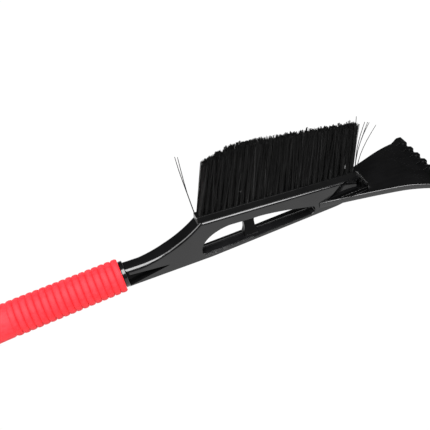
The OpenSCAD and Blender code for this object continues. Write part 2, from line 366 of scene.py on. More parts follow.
def carved(body: bmesh.types.BMesh, cutters: Iterable[bmesh.types.BMesh]) -> bmesh.types.BMesh:
    """Cuts closed bodies out of another.

    Args:
        body: The body to cut, freed here.
        cutters: The bodies to cut away, freed here.

    Returns:
        The carved body.
    """
    piece = to_object(body, "carved")
    helpers = [piece]
    for cutter in cutters:
        bmesh.ops.recalc_face_normals(cutter, faces=cutter.faces)
        tool = to_object(cutter, "cutter")
        modifier = piece.modifiers.new("cut", "BOOLEAN")
        modifier.operation = "DIFFERENCE"
        modifier.solver = "EXACT"
        modifier.object = tool
        helpers.append(tool)
    bpy.context.view_layer.update()
    result = bpy.data.meshes.new_from_object(evaluated(piece))
    bm = bmesh.new()
    bm.from_mesh(result)
    bpy.data.meshes.remove(result)
    for helper in helpers:
        bpy.data.objects.remove(helper)
    return bm


def keep_flats_flat(piece: bpy.types.Object) -> None:
    """Adds weighted normals, so large flat faces reflect as flat beside rounded edges."""
    modifier = piece.modifiers.new("flats", "WEIGHTED_NORMAL")
    modifier.mode = "FACE_AREA"
    modifier.keep_sharp = True


# ---- finishes ----


class Slot(Enum):
    """The record's material slots."""

    FRAME = "frame_plastic"
    HEAD = "head_plastic"
    FOAM = "grip_foam"
    CAP = "cap_plastic"
    BRISTLE = "bristles"
    WIRE = "anchor_wire"


class Nodes:
    """A material's node tree, with short calls to grow it."""

    def __init__(self, name: str) -> None:
        """Starts a material with one Principled shader."""
        self.material = bpy.data.materials.new(name)
        self.material.use_nodes = True
        self.tree = self.material.node_tree
        self.shader = self.tree.nodes["Principled BSDF"]
        self.place = self.tree.nodes.new("ShaderNodeTexCoord").outputs["Object"]

    def link(self, source: bpy.types.NodeSocket, target: bpy.types.NodeSocket) -> None:
        """Joins two sockets."""
        self.tree.links.new(source, target)

    def noise(self, scale: float, detail: float = 4.0, stretch: tuple[float, float, float] = (1, 1, 1),
              tilt: float = 0.0) -> bpy.types.NodeSocket:
        """A noise pattern on object coordinates.

        Args:
            scale: Cells per metre.
            detail: Octaves.
            stretch: Scale along each axis.
            tilt: Turn about Y in radians before the stretch.

        Returns:
            The pattern's value.
        """
        turn = self.tree.nodes.new("ShaderNodeMapping")
        turn.inputs["Rotation"].default_value = (0, tilt, 0)
        self.link(self.place, turn.inputs["Vector"])
        spread = self.tree.nodes.new("ShaderNodeMapping")
        spread.inputs["Scale"].default_value = stretch
        self.link(turn.outputs["Vector"], spread.inputs["Vector"])
        pattern = self.tree.nodes.new("ShaderNodeTexNoise")
        pattern.inputs["Scale"].default_value = scale
        pattern.inputs["Detail"].default_value = detail
        self.link(spread.outputs["Vector"], pattern.inputs["Vector"])
        return pattern.outputs["Fac"]

    def cells(self, scale: float) -> bpy.types.NodeSocket:
        """Distance to the nearest of scattered points.

        Args:
            scale: Cells per metre.

        Returns:
            The distance.
        """
        pattern = self.tree.nodes.new("ShaderNodeTexVoronoi")
        pattern.inputs["Scale"].default_value = scale
        self.link(self.place, pattern.inputs["Vector"])
        return pattern.outputs["Distance"]

    def ramp(self, value: bpy.types.NodeSocket, stops: list[tuple[float, Colour]]
             ) -> bpy.types.NodeSocket:
        """Maps a value to colours.

        Args:
            value: The value to map.
            stops: Positions with their linear colours.

        Returns:
            The colour.
        """
        node = self.tree.nodes.new("ShaderNodeValToRGB")
        elements = node.color_ramp.elements
        while len(elements) < len(stops):
            elements.new(0.5)
        for element, (position, colour) in zip(elements, stops):
            element.position = position
            element.color = (*colour, 1)
        self.link(value, node.inputs["Fac"])
        return node.outputs["Color"]

    def between(self, value: bpy.types.NodeSocket, low: float, high: float,
                start: float = 0.3, stop: float = 0.7) -> bpy.types.NodeSocket:
        """Maps a pattern from its middle range to low..high.

        Args:
            value: The pattern.
            low: Result at the range's start.
            high: Result at the range's end.
            start: Pattern value at the range's start.
            stop: Pattern value at the range's end.

        Returns:
            The mapped value.
        """
        node = self.tree.nodes.new("ShaderNodeMapRange")
        for socket, number in zip(("From Min", "From Max", "To Min", "To Max"), (start, stop, low, high)):
            node.inputs[socket].default_value = number
        self.link(value, node.inputs["Value"])
        return node.outputs["Result"]

    def bumps(self, heights: list[tuple[bpy.types.NodeSocket, float, float]]) -> None:
        """Stacks bump patterns on the shader's normal.

        Args:
            heights: Each pattern with its strength and its depth in metres.
        """
        below = None
        for height, strength, depth in heights:
            node = self.tree.nodes.new("ShaderNodeBump")
            node.inputs["Strength"].default_value = strength
            node.inputs["Distance"].default_value = depth
            self.link(height, node.inputs["Height"])
            if below is not None:
                self.link(below, node.inputs["Normal"])
            below = node.outputs["Normal"]
        self.link(below, self.shader.inputs["Normal"])


@dataclass(frozen=True)
class MouldedPlastic:
    """Black moulded plastic, from glossy to satin."""

    name: str
    base: Colour = (0.0035, 0.0035, 0.0037)
    rough_low: float = 0.10
    rough_high: float = 0.20
    ripple: float = 0.10
    scuff: float = 0.05
    gloss: float = 0.5

    def material(self) -> bpy.types.Material:
        """Builds the material: uneven gloss, soft mould ripple and fine lengthwise flow lines."""
        nodes = Nodes(self.name)
        cloud = nodes.noise(38, 5)
        flow = nodes.noise(240, 3, (0.05, 1, 1))
        ripple = nodes.noise(170, 2)
        scuffs = nodes.noise(900, 6, (0.12, 1, 1))
        lift = tuple(channel * 1.9 + 0.0008 for channel in self.base)
        colour = nodes.ramp(cloud, [(0.3, self.base), (0.75, lift)])
        roughness = nodes.between(flow, self.rough_low, self.rough_high)
        nodes.link(colour, nodes.shader.inputs["Base Color"])
        nodes.link(roughness, nodes.shader.inputs["Roughness"])
        nodes.bumps([(ripple, self.ripple, 0.0006), (flow, self.ripple, 0.0002),
                     (scuffs, self.scuff, 0.0001)])
        nodes.shader.inputs["IOR"].default_value = 1.5
        nodes.shader.inputs["Specular IOR Level"].default_value = self.gloss
        return nodes.material


@dataclass(frozen=True)
class GripFoam:
    """Soft closed-cell foam, matte, with open pores."""

    name: str = "red_foam"
    # painted shade: the darker red that is painted into the grooves between the ribs
    groove: Colour = (0.80, 0.004, 0.010)
    deep: Colour = (0.90, 0.013, 0.022)
    light: Colour = (0.97, 0.030, 0.042)
    pores_per_m: float = 1500

    def material(self) -> bpy.types.Material:
        """Builds the material: mottled red with painted shade darkening the grooves, small pores and a soft
        sheen.
        """
        nodes = Nodes(self.name)
        mottle = nodes.noise(260, 6)
        pores = nodes.cells(self.pores_per_m)
        grain = nodes.noise(2600, 3)
        # painted shade: a per-vertex groove mask mixes the darker red in
        attribute = nodes.tree.nodes.new("ShaderNodeAttribute")
        attribute.attribute_name = "groove"
        mix = nodes.tree.nodes.new("ShaderNodeMix")
        mix.data_type = "RGBA"
        nodes.link(attribute.outputs["Fac"], mix.inputs["Factor"])
        nodes.link(nodes.ramp(mottle, [(0.3, self.deep), (0.7, self.light)]), mix.inputs[6])
        mix.inputs[7].default_value = (*self.groove, 1)
        nodes.link(mix.outputs[2], nodes.shader.inputs["Base Color"])
        nodes.link(nodes.between(mottle, 0.62, 0.8), nodes.shader.inputs["Roughness"])
        nodes.bumps([(pores, 0.22, 0.0003), (grain, 0.25, 0.00015)])
        nodes.shader.inputs["Sheen Weight"].default_value = 0.12
        nodes.shader.inputs["Sheen Roughness"].default_value = 0.5
        nodes.shader.inputs["Sheen Tint"].default_value = (1, 0.45, 0.5, 1)
        nodes.shader.inputs["Specular IOR Level"].default_value = 0.35
        return nodes.material


@dataclass(frozen=True)
class BristleFibre:
    """Black synthetic bristle."""

    name: str = "bristle_fibre"
    lean: float = 0.2
    blacks: tuple[Point, ...] = ((0.0, 0.0015), (0.55, 0.004), (0.8, 0.012), (1.0, 0.034))

    def material(self) -> bpy.types.Material:
        """Builds the material: filaments of slightly different blacks, satin along their length."""
        nodes = Nodes(self.name)
        strand = nodes.noise(900, 2, (1, 1, 0.05), self.lean)
        attribute = nodes.tree.nodes.new("ShaderNodeAttribute")
        attribute.attribute_name = "shade"
        blacks = [(place, (level, level, level)) for place, level in self.blacks]
        nodes.link(nodes.ramp(attribute.outputs["Fac"], blacks), nodes.shader.inputs["Base Color"])
        nodes.link(nodes.between(strand, 0.35, 0.55), nodes.shader.inputs["Roughness"])
        nodes.shader.inputs["IOR"].default_value = 1.5
        nodes.shader.inputs["Specular IOR Level"].default_value = 0.14
        return nodes.material


@dataclass(frozen=True)
class DrawnWire:
    """Flat drawn steel wire."""

    name: str = "drawn_wire"

    def material(self) -> bpy.types.Material:
        """Builds the material: steel with fine drawing lines."""
        nodes = Nodes(self.name)
        lines = nodes.noise(5000, 2, (0.05, 1, 1))
        nodes.link(nodes.ramp(lines, [(0.3, (0.42, 0.42, 0.43)), (0.7, (0.62, 0.62, 0.63))]),
                   nodes.shader.inputs["Base Color"])
        nodes.link(nodes.between(lines, 0.25, 0.4), nodes.shader.inputs["Roughness"])
        nodes.bumps([(lines, 0.1, 0.00005)])
        nodes.shader.inputs["Metallic"].default_value = 1
        return nodes.material


def dress(piece: bpy.types.Object, material: bpy.types.Material, slot: Slot, *stands_for: str) -> None:
    """Gives a new piece its material, its body and the CAD nodes that it stands for.

    Args:
        piece: The finished piece.
        material: Its material.
        slot: The record's slot for its finish; not used.
        stands_for: The CAD nodes that it replaces.
    """
    piece.data.materials.clear()
    piece.data.materials.append(material)
    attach(piece, "root")
    if stands_for:
        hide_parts(*stands_for)
    log.info("%s: %d faces", piece.name, len(piece.data.polygons))


def add_painted_shade(piece: bpy.types.Object, painted_shade: bpy.types.Material,
              inside: Callable[[bpy.types.MeshPolygon], bool]) -> None:
    """Gives part of a piece a second material: painted shade, a darker and less glossy copy of its plastic.

    Args:
        piece: The piece, already dressed.
        painted_shade: The second material, the darker and less glossy copy that paints shade.
        inside: Tells which faces take it.
    """
    piece.data.materials.append(painted_shade)
    for face in piece.data.polygons:
        face.material_index = 1 if inside(face) else 0


# ---- the tool's datum ----


@dataclass(frozen=True)
class Datum:
    """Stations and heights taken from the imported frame's own boxes."""

    bar_l: float = 172.6 * MM
    bar_rise: float = 30.6 * MM
    tilt: float = math.radians(6.93)
    half_w: float = 9.15 * MM
    bed_h: float = 6 * MM
    bed_start: float = -4.5 * MM
    blade_z: float = -1.9 * MM
    blade_t: float = 6 * MM
    grip_x0: float = field(default_factory=lambda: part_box("foam_grip")[0].x)
    grip_x1: float = field(default_factory=lambda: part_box("foam_grip")[1].x)
    axis_z: float = field(default_factory=lambda: (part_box("foam_grip")[0].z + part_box("foam_grip")[1].z) / 2)
    bar_x1: float = field(default_factory=lambda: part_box("frame")[1].x)
    fork_x: float = field(default_factory=lambda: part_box("scraper_head")[0].x)
    edge_x: float = field(default_factory=lambda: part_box("scraper_head")[1].x)
    edge_half: float = field(default_factory=lambda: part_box("scraper_head")[1].y)

    @property
    def collar_x0(self) -> float:
        """Rear face of the collar."""
        return self.grip_x1 + 0.2 * MM

    @property
    def collar_x1(self) -> float:
        """Front face of the collar."""
        return self.collar_x0 + 4.1 * MM

    @property
    def bar_x0(self) -> float:
        """Rear end of the brush bar."""
        return self.bar_x1 - self.bar_l

    @property
    def bed_stop(self) -> float:
        """Front end of the bristle bed, along the bar."""
        return self.bar_l - 0.8 * MM

    def z(self, height: float) -> float:
        """Height above the lowest point, from a height above the handle's axis."""
        return self.axis_z + height

    def bar_top(self, x: float) -> float:
        """Height of the bar's top at a station."""
        return self.z(self.bar_rise - math.tan(self.tilt) * (x - self.bar_x0))

    def on_bar(self, along: float, across: float, up: float) -> Vector:
        """A point in the bar's own frame, brought into the tool's."""
        turn = Matrix.Rotation(self.tilt, 3, "Y")
        return Vector((self.bar_x0, 0, self.z(self.bar_rise))) + turn @ Vector((along, across, up))


# ---- frame moulding ----


@dataclass
class FrameMoulding:
    """The one-piece frame: collar, neck, ramp, brush bar, window, rail and hub."""

    datum: Datum
    neck_round: float = 6.0 * MM
    ramp_round: float = 3.4 * MM
    bar_round: float = 3.2 * MM
    low_round: float = 1.2 * MM
    window_round: float = 0.5 * MM
    keel: float = -15.8 * MM
    neck_low: float = -11.2 * MM
    neck_high: float = 10.6 * MM
    ramp_start: float = 17 * MM
    ramp_low: float = 9.04 * MM
    collar_r: float = 13.7 * MM
    core_r: float = 12.6 * MM
    core_wall: float = 2.8 * MM
    bed_half: float = 5.1 * MM
    bed_root: float = 2.5 * MM
    bed_foot: float = 6.3 * MM
    strut_at: float = 41 * MM
    strut_w: float = 13.8 * MM
    strut_half: float = 4.2 * MM
    rail_side: float = 3.2 * MM
    sill_flat: float = 7.5 * MM
    sill_drop: float = 2.4 * MM
    bead_r: float = 0.85 * MM
    neck_depth: float = 4.4 * MM

    def outline(self) -> list[Corner]:
        """Side view of the frame without its window, with the radius of its edges."""
        d = self.datum
        start = d.collar_x1 + self.ramp_start
        run = d.bar_x0 - 1.6 * MM - start
        rise = d.bar_rise + 1.2 * MM - self.ramp_low
        radius = (run * run + rise * rise) / (2 * rise)
        sweep = math.degrees(math.asin(run / radius))
        nose = d.bar_x1 - 3 * MM
        lift = d.bar_x1 - 31 * MM
        low = d.blade_z - d.blade_t - 0.4 * MM
        top, low_edge = self.neck_round, self.low_round
        points = [(d.collar_x1 - 1 * MM, d.z(self.neck_low), low_edge)]
        points += [(d.collar_x1 - 1 * MM, d.z(self.neck_high), top)]
        points += [(d.collar_x1 + 6 * MM, d.z(self.neck_high - 0.75 * MM), top)]
        ramp = arc((start, d.z(self.ramp_low) + radius), radius, -90, sweep - 90, 36)
        for i, (x, z) in enumerate(ramp):
            near = max(0.0, 1 - i / 14)
            points.append((x, z, self.ramp_round + (top - self.ramp_round) * near))
        points += [(d.bar_x0 + 0.8 * MM, d.bar_top(d.bar_x0 + 0.8 * MM), self.bar_round)]
        points += [(x, d.bar_top(x), self.bar_round) for x in (d.bar_x0 + 30 * MM, d.bar_x1 - 12 * MM)]
        points += [(d.bar_x1 - 5 * MM, d.bar_top(d.bar_x1 - 5 * MM), 1.6 * MM)]
        points += [(d.bar_x1, d.bar_top(d.bar_x1), 0.5 * MM)]
        points += [(nose, d.bar_top(d.bar_x1) - 3 * MM, 0.3 * MM), (nose, d.z(low), 0.4 * MM)]
        for i in range(1, 11):
            t = i / 10
            height = self.keel + (low - self.keel) * (1 - t) ** 2
            points.append((nose + (lift - nose) * t, d.z(height), low_edge))
        points += [(d.bar_x0 + 2 * MM, d.z(self.keel), low_edge)]
        return points

    def window(self) -> list[Point]:
        """Outline of the window through the frame, both cells in one."""
        d = self.datum
        x0 = d.bar_x0 - 8 * MM
        x1 = d.bar_x1 - 54.2 * MM
        low = d.z(-6.9 * MM)
        tip_low = d.z(-11.6 * MM)
        tip_r = 4.7 * MM
        arch_l = 34 * MM
        arch_top = d.bar_top(x0 + arch_l) - 11.4 * MM
        front_x0 = d.bar_x0 + self.strut_at + self.strut_w
        front_top = d.bar_top(front_x0) - 11.4 * MM
        corner = 2.2 * MM
        points = arc((x0 + corner, low + corner), corner, 200, 270, 6)
        points += [(d.bar_x0 + self.strut_at, low - 1.5 * MM)]
        points += arc((x1 - 0.8 * tip_r, tip_low + tip_r), tip_r, -90, 75, 12)
        for i in range(1, 15):
            t = i / 14
            x = x1 - 4 * MM + (front_x0 - x1 + 4 * MM) * t
            shoulder = tip_low + 2 * tip_r - 0.2 * MM
            points.append((x, shoulder + (front_top - shoulder) * (1 - (1 - t) ** 1.35)))
        for i in range(17):
            turn = math.pi / 2 * i / 16
            x = x0 + arch_l * (1 - math.sin(turn)) + 0.6 * MM * i / 16
            points.append((x, arch_top - (arch_top - low - 2.6 * MM) * (1 - math.cos(turn))))
        return points

    def strut(self) -> bmesh.types.BMesh:
        """The strut across the window, flared where it meets the bar and the rail."""
        d = self.datum
        low, high = d.z(-12 * MM), d.bar_top(d.bar_x0 + self.strut_at) - 8 * MM
        middle_x = d.bar_x0 + self.strut_at + self.strut_w / 2
        bm = block(Vector((middle_x, 0, (low + high) / 2)),
                   Vector((self.strut_w, 2 * self.strut_half, high - low)), 1.3 * MM)
        sliced(bm, Vector((0, 0, 1)), [low + (high - low) * k / 12 for k in range(1, 12)])
        for vert in bm.verts:
            near = min(vert.co.z - low, high - vert.co.z) / (0.42 * (high - low))
            flare = 0.82 + 0.42 * (1 - eased(near))
            vert.co.x = middle_x + (vert.co.x - middle_x) * flare
            vert.co.y *= 1 + 0.25 * (1 - eased(near))
        return bm

    def bed(self) -> bmesh.types.BMesh:
        """The raised bed that the tufts are set in."""
        d = self.datum
        middle = Vector(((d.bed_start + d.bed_stop) / 2, 0, (d.bed_h - self.bed_root) / 2))
        size = Vector((d.bed_stop - d.bed_start, 2 * self.bed_half, d.bed_h + self.bed_root))
        bm = block(middle, size, 0.5 * MM)
        sliced(bm, Vector((0, 0, 1)), [0])
        for vert in bm.verts:
            drop = min(1.0, max(0.0, (d.bed_h - vert.co.z) / d.bed_h))
            vert.co.y *= 1 + (self.bed_foot / self.bed_half - 1) * drop
        place = Matrix.Translation(d.on_bar(0, 0, 0)) @ Matrix.Rotation(d.tilt, 4, "Y")
        bmesh.ops.transform(bm, matrix=place, verts=bm.verts)
        return bm

    def collar(self) -> bmesh.types.BMesh:
        """The disc that the grip stops at."""
        d = self.datum
        x0, x1, r, soft = d.collar_x0, d.collar_x1, self.collar_r, 0.7 * MM
        rear, front = arc((x0 + soft, r - soft), soft, 180, 90, 4), arc((x1 - soft, r - soft), soft, 90, 0, 4)
        return turned([(x0, 0), *rear, *front, (x1, 0)], d.axis_z)

    def core(self) -> bmesh.types.BMesh:
        """The core tube that the grip is pushed over, blind at the neck."""
        d = self.datum
        inner = self.core_r - self.core_wall
        floor, front = d.collar_x0 - 6 * MM, d.collar_x1 - 1 * MM
        profile = [(floor, 0), (floor, inner), (d.grip_x0, inner), (d.grip_x0, self.core_r),
                   (front, self.core_r), (front, 0)]
        return turned(profile, d.axis_z, 64)

    def parting_bead(self) -> bmesh.types.BMesh:
        """The fine parting bead that runs round the inside of the window."""
        curve = new_wire("bead", self.bead_r, 2)
        add_line(curve, [Vector((x, 0, z)) for x, z in self.window()]).use_cyclic_u = True
        mesh = meshed(curve)
        bm = bmesh.new()
        bm.from_mesh(mesh)
        bpy.data.meshes.remove(mesh)
        return bm

    def recess_cutters(self) -> list[bmesh.types.BMesh]:
        """The tapered recesses along both sides of the neck."""
        d = self.datum
        x0 = d.collar_x1 + 0.3 * MM
        x1 = x0 + 43.2 * MM
        wide, narrow = 0.8 * MM, 0.25 * MM
        outline = filleted([(x0, d.z(4.2 * MM), wide), (x0, d.z(-9.6 * MM), wide),
                            (x1, d.z(-3.7 * MM), narrow), (x1, d.z(-3.1 * MM), narrow)])
        inner, outer = d.half_w - self.neck_depth, d.half_w + 3 * MM
        return [prism(outline, 1, side * inner, side * outer) for side in (-1, 1)]

    def rail_cutters(self) -> list[bmesh.types.BMesh]:
        """Wedges that slope the window's sill down from its middle line to both sides."""
        d = self.datum
        stations = [(d.bar_x0 - 5.5 * MM, -7.0 * MM), (d.bar_x0 + 48 * MM, -8.5 * MM),
                    (d.bar_x1 - 58 * MM, -11.4 * MM)]
        low = self.keel + self.rail_side
        cutters = []
        for side in (-1, 1):
            bm = bmesh.new()
            rings = []
            for x, ridge in stations:
                knee = max(ridge - self.sill_drop, low + 0.3 * MM)
                section = [(0.4 * MM, ridge), (self.sill_flat, knee), (d.half_w + 0.4 * MM, low),
                           (d.half_w + 0.4 * MM, ridge + 2 * MM), (0.4 * MM, ridge + 2 * MM)]
                rings.append([bm.verts.new((x, side * y, d.z(z))) for y, z in section])
            for ring in (rings[0], rings[-1]):
                bm.faces.new(ring)
            for before, after in zip(rings, rings[1:]):
                for k in range(len(before)):
                    bm.faces.new((before[k - 1], before[k], after[k], after[k - 1]))
            cutters.append(bm)
        return cutters

    def is_painted_shade(self, face: bpy.types.MeshPolygon) -> bool:
        """Whether a face takes painted shade: on the strut, the bristle bed or in the neck's recesses."""
        d = self.datum
        x, y, z = face.center
        in_neck = d.collar_x1 + 0.3 * MM < x < d.collar_x1 + 46 * MM
        in_neck = in_neck and 1 * MM < abs(y) < d.half_w - 0.2 * MM
        in_neck = in_neck and -10 * MM < z - d.axis_z < 4.6 * MM
        strut_x = d.bar_x0 + self.strut_at
        in_strut = strut_x - 1 * MM < x < strut_x + self.strut_w + 1 * MM
        in_strut = in_strut and abs(y) < 1.3 * self.strut_half
        in_strut = in_strut and d.z(-9.5 * MM) < z < d.bar_top(x) - 11.6 * MM
        in_bed = x > d.bar_x0 - 2 * MM and abs(y) < self.bed_foot + 0.1 * MM
        in_bed = in_bed and z > d.bar_top(x) + 0.2 * MM
        return in_neck or in_strut or in_bed

    def scoop_cutters(self) -> list[bmesh.types.BMesh]:
        """The concave scoops that narrow the nose of the bar."""
        d = self.datum
        return [nose_scoop(d, side) for side in (-1, 1)]

    def build(self, material: bpy.types.Material, painted_shade: bpy.types.Material) -> None:
        """Makes the moulding and dresses it, with painted shade (a darker, less glossy copy of its plastic) in
        its recesses.
        """
        d = self.datum
        window = edged(self.window(), self.window_round)
        slab = plate(self.outline(), [window], d.half_w)
        bm = carved(slab, [*self.recess_cutters(), *self.scoop_cutters(), *self.rail_cutters()])
        for body in (self.strut(), self.bed(), self.collar(), self.core(), self.parting_bead()):
            add_body(bm, body)
        piece = to_object(bm, "frame_moulding", 24)
        keep_flats_flat(piece)
        dress(piece, material, Slot.FRAME, "frame")
        add_painted_shade(piece, painted_shade, self.is_painted_shade)


def nose_scoop(datum: Datum, side: int) -> bmesh.types.BMesh:
    """The slanted round cutter beside the hub, wide at the blade and narrow at the bar's top.

    Args:
        datum: The tool's datum.
        side: 1 for the left side or -1 for the right.

    Returns:
        A closed cutter.
    """
    high_z, low_z = datum.bar_top(datum.bar_x1) + 8 * MM, datum.z(datum.blade_z)
    top = Vector((datum.bar_x1 - 8.5 * MM, side * (datum.half_w + 13.5 * MM), high_z))
    low = Vector((datum.bar_x1 - 16 * MM, side * (datum.half_w + 49.6 * MM), low_z))
    bm = bmesh.new()
    rings = []
    for centre, radius in ((low, 54 * MM), (top, 14.6 * MM)):
        ring = bmesh.ops.create_circle(bm, segments=96, radius=radius, cap_ends=False,
                                       matrix=Matrix.Translation(centre))["verts"]
        rings.append({edge for vert in ring for edge in vert.link_edges})
    bmesh.ops.bridge_loops(bm, edges=list(rings[0] | rings[1]))
    bmesh.ops.holes_fill(bm, edges=bm.edges, sides=0)
    return bm


# ---- scraper head ----


@dataclass
class ScraperHead:
    """The blade that fits on the frame's hub as a fork, with its ice ribs."""

    datum: Datum
    edge_thick: float = 2.2 * MM
    bend_r: float = 125 * MM
    bend_l: float = 52 * MM
    flare: float = 0.245
    hump_l: float = 22 * MM
    hump_h: float = 11.3 * MM
    rib_count: int = 7
    rib_l: float = 16 * MM
    rib_w: float = 5.2 * MM
    rib_h: float = 4.2 * MM
    corner_w: float = 10 * MM
    pocket_depth: float = 3.4 * MM
    rim: float = 2.4 * MM
    clearance: float = 0.15 * MM
    side_bulge: float = 0.35 * MM
    edge_round: float = 0.9 * MM

    @property
    def hump_x(self) -> float:
        """Rear end of the hump, just in front of the bar."""
        return self.datum.bar_x1 + 0.3 * MM

    @property
    def floor_z(self) -> float:
        """Height of the recesses' floor."""
        return self.datum.z(self.datum.blade_z - self.pocket_depth)

    def half_at(self, x: float) -> float:
        """Half of the blade's width at a station."""
        d = self.datum
        start = d.half_w + 0.9 * MM
        run = d.edge_x - d.fork_x
        cubic = (d.edge_half - start - self.flare * run) / run ** 3
        return start + self.flare * (x - d.fork_x) + cubic * (x - d.fork_x) ** 3

    def top_at(self, x: float) -> float:
        """Height of the blade's plain top at a station."""
        past = max(0.0, x - (self.datum.edge_x - self.bend_l))
        return self.datum.z(self.datum.blade_z) - self.bend_r + math.sqrt(self.bend_r ** 2 - past ** 2)

    def thick_at(self, x: float) -> float:
        """Thickness of the blade at a station."""
        past = max(0.0, x - (self.datum.edge_x - self.bend_l)) / self.bend_l
        return self.datum.blade_t - (self.datum.blade_t - self.edge_thick) * past ** 3

    def surface(self, x: float, y: float) -> float:
        """Height of the blade's top with the hump that carries the bar's line down to it."""
        height = self.top_at(x)
        if x < self.hump_x - 1e-6:
            return height
        along = min(1.0, (x - self.hump_x) / self.hump_l)
        half = (8.4 + 6 * along) * MM
        fall = (2.4 + 24 * along) * MM
        across = 1 - eased((abs(y) - half + 0.6 * MM) / fall)
        return height + self.hump_h * (1 - along) ** 4 * across

    def stations(self) -> list[float]:
        """Stations along the blade, dense where the hump starts."""
        d = self.datum
        rear = self.hump_x
        fork = [d.fork_x + (rear - 0.05 * MM - d.fork_x) * i / 12 for i in range(13)]
        blade = [rear + (d.edge_x - rear) * (i / 48) ** 1.1 for i in range(49)]
        return fork + blade

    def blade(self) -> bmesh.types.BMesh:
        """The blade's plain body, rounded along its upper rim, with a drafted side wall."""
        stations = self.stations()
        columns = len(stations) - 1
        bm = bmesh.new()
        bmesh.ops.create_grid(bm, x_segments=columns, y_segments=72, size=0.5)
        for vert in bm.verts:
            x = stations[round((vert.co.x + 0.5) * columns)]
            y = 2 * vert.co.y * self.half_at(x)
            vert.co = (x, y, self.surface(x, y) - self.edge_round)
        top = list(bm.faces)
        if top[0].normal.z < 0:
            bmesh.ops.reverse_faces(bm, faces=top)
        lower = top
        for halfway in (True, False):
            previous = lower
            raised = bmesh.ops.extrude_face_region(bm, geom=lower)["geom"]
            lower = of_kind(raised, bmesh.types.BMFace)
            for vert in {vert for face in lower for vert in face.verts}:
                x = vert.co.x
                bulge = 1 + self.side_bulge / self.half_at(x)
                if halfway:
                    vert.co.z -= 0.5 * (self.thick_at(x) - self.edge_round)
                    vert.co.y *= bulge
                else:
                    vert.co.z = self.top_at(x) - self.thick_at(x)
                    vert.co.y /= bulge
        bmesh.ops.delete(bm, geom=previous, context="FACES")
        bmesh.ops.recalc_face_normals(bm, faces=bm.faces)
        steps = 4
        for k in range(steps):
            low = math.pi / 2 * k / steps
            high = math.pi / 2 * (k + 1) / steps
            bmesh.ops.inset_region(bm, faces=top, use_boundary=True, use_even_offset=False,
                                   thickness=self.edge_round * (math.cos(low) - math.cos(high)),
                                   depth=self.edge_round * (math.sin(high) - math.sin(low)))
        return bm

    def hub_cutter(self) -> bmesh.types.BMesh:
        """The slot between the fork's arms that holds the frame's hub."""
        d = self.datum
        low, high = d.fork_x - 1 * MM, d.bar_x1 - 3 * MM + self.clearance
        reach = d.half_w + self.clearance
        under, over = d.z(-30 * MM), d.z(30 * MM)
        return prism([(low, under), (high, under), (high, over), (low, over)], 1, -reach, reach)

    def pocket_cutter(self, side: int) -> bmesh.types.BMesh:
        """The recess beside the hub on one side, up to the hump's foot."""
        d = self.datum
        inner = d.half_w - 3 * MM
        nose = d.bar_x1 - 3 * MM
        rear = d.fork_x + 9 * MM
        tip = d.bar_x1 + 7.5 * MM
        corners = [
            (rear, inner, 0), (nose + 4.4 * MM, inner, 0), (d.bar_x1 + 2.2 * MM, 7.7 * MM, 0),
            (tip, d.half_w + 2.4 * MM, 1.2 * MM),
            (tip - 4 * MM, self.half_at(tip - 4 * MM) - self.rim, 1.0 * MM),
            (rear + 12 * MM, self.half_at(rear + 12 * MM) - self.rim, 0),
            (rear, self.half_at(rear) - self.rim, 0)]
        outline = [(x, side * y) for x, y in filleted(corners, 4)]
        return prism(outline, 2, self.floor_z, d.z(30 * MM))

    def pocket_ribs(self) -> list[bmesh.types.BMesh]:
        """The thin stiffening ribs that run along the recesses."""
        d = self.datum
        ribs = []
        for side in (-1, 1):
            for start, offset, height in ((24, 3.0, 2.6), (30, 6.2, 1.6)):
                x0, x1 = d.fork_x + start * MM, d.bar_x1 + 7 * MM
                middle = Vector(((x0 + x1) / 2, side * (d.half_w + offset * MM), self.floor_z))
                ribs.append(block(middle, Vector((x1 - x0, 1.1 * MM, 2 * height * MM)), 0.4 * MM))
        return ribs

    def ice_rib(self, centre_y: float, width: float) -> bmesh.types.BMesh:
        """One ice rib: rounded, ramped at its rear, following the blade's bend.

        Args:
            centre_y: Middle of the rib across the blade.
            width: Its width.

        Returns:
            A closed body.
        """
        d = self.datum
        x0 = d.edge_x - self.rib_l
        bm = block(Vector((0, 0, 0)), Vector((self.rib_l, width, 2 * self.rib_h)), 0.8 * MM)
        sliced(bm, Vector((1, 0, 0)), [self.rib_l * (k / 10 - 0.5) for k in range(1, 10)])
        for vert in bm.verts:
            x = x0 + self.rib_l / 2 + vert.co.x
            rise = vert.co.z
            if rise > 0:
                rise *= eased((x - x0) / (0.55 * self.rib_l))
            else:
                rise = max(rise, 0.4 * MM - self.thick_at(min(x, d.edge_x)))
            y = centre_y + vert.co.y
            limit = self.half_at(x)
            vert.co = (x, max(-limit, min(limit, y)), self.top_at(min(x, d.edge_x)) + rise)
        return bm

    def build(self, material: bpy.types.Material, painted_shade: bpy.types.Material) -> None:
        """Makes the head and dresses it, with painted shade (a darker, less glossy copy of its plastic) on its
        ice ribs and in its recesses.
        """
        d = self.datum
        bm = carved(self.blade(), [self.hub_cutter(), self.pocket_cutter(-1), self.pocket_cutter(1)])
        middle = (self.rib_count - 1) // 2
        pitch = (d.edge_half - self.rib_w - 0.3 * MM) / (middle + 0.4)
        for k in range(-middle, middle + 1):
            add_body(bm, self.ice_rib(k * pitch, self.rib_w))
        for side in (-1, 1):
            add_body(bm, self.ice_rib(side * (d.edge_half - self.corner_w / 2), self.corner_w))
        for rib in self.pocket_ribs():
            add_body(bm, rib)
        piece = to_object(bm, "scraper_blade")
        dress(piece, material, Slot.HEAD, "scraper_head")
        add_painted_shade(piece, painted_shade, self.is_painted_shade)

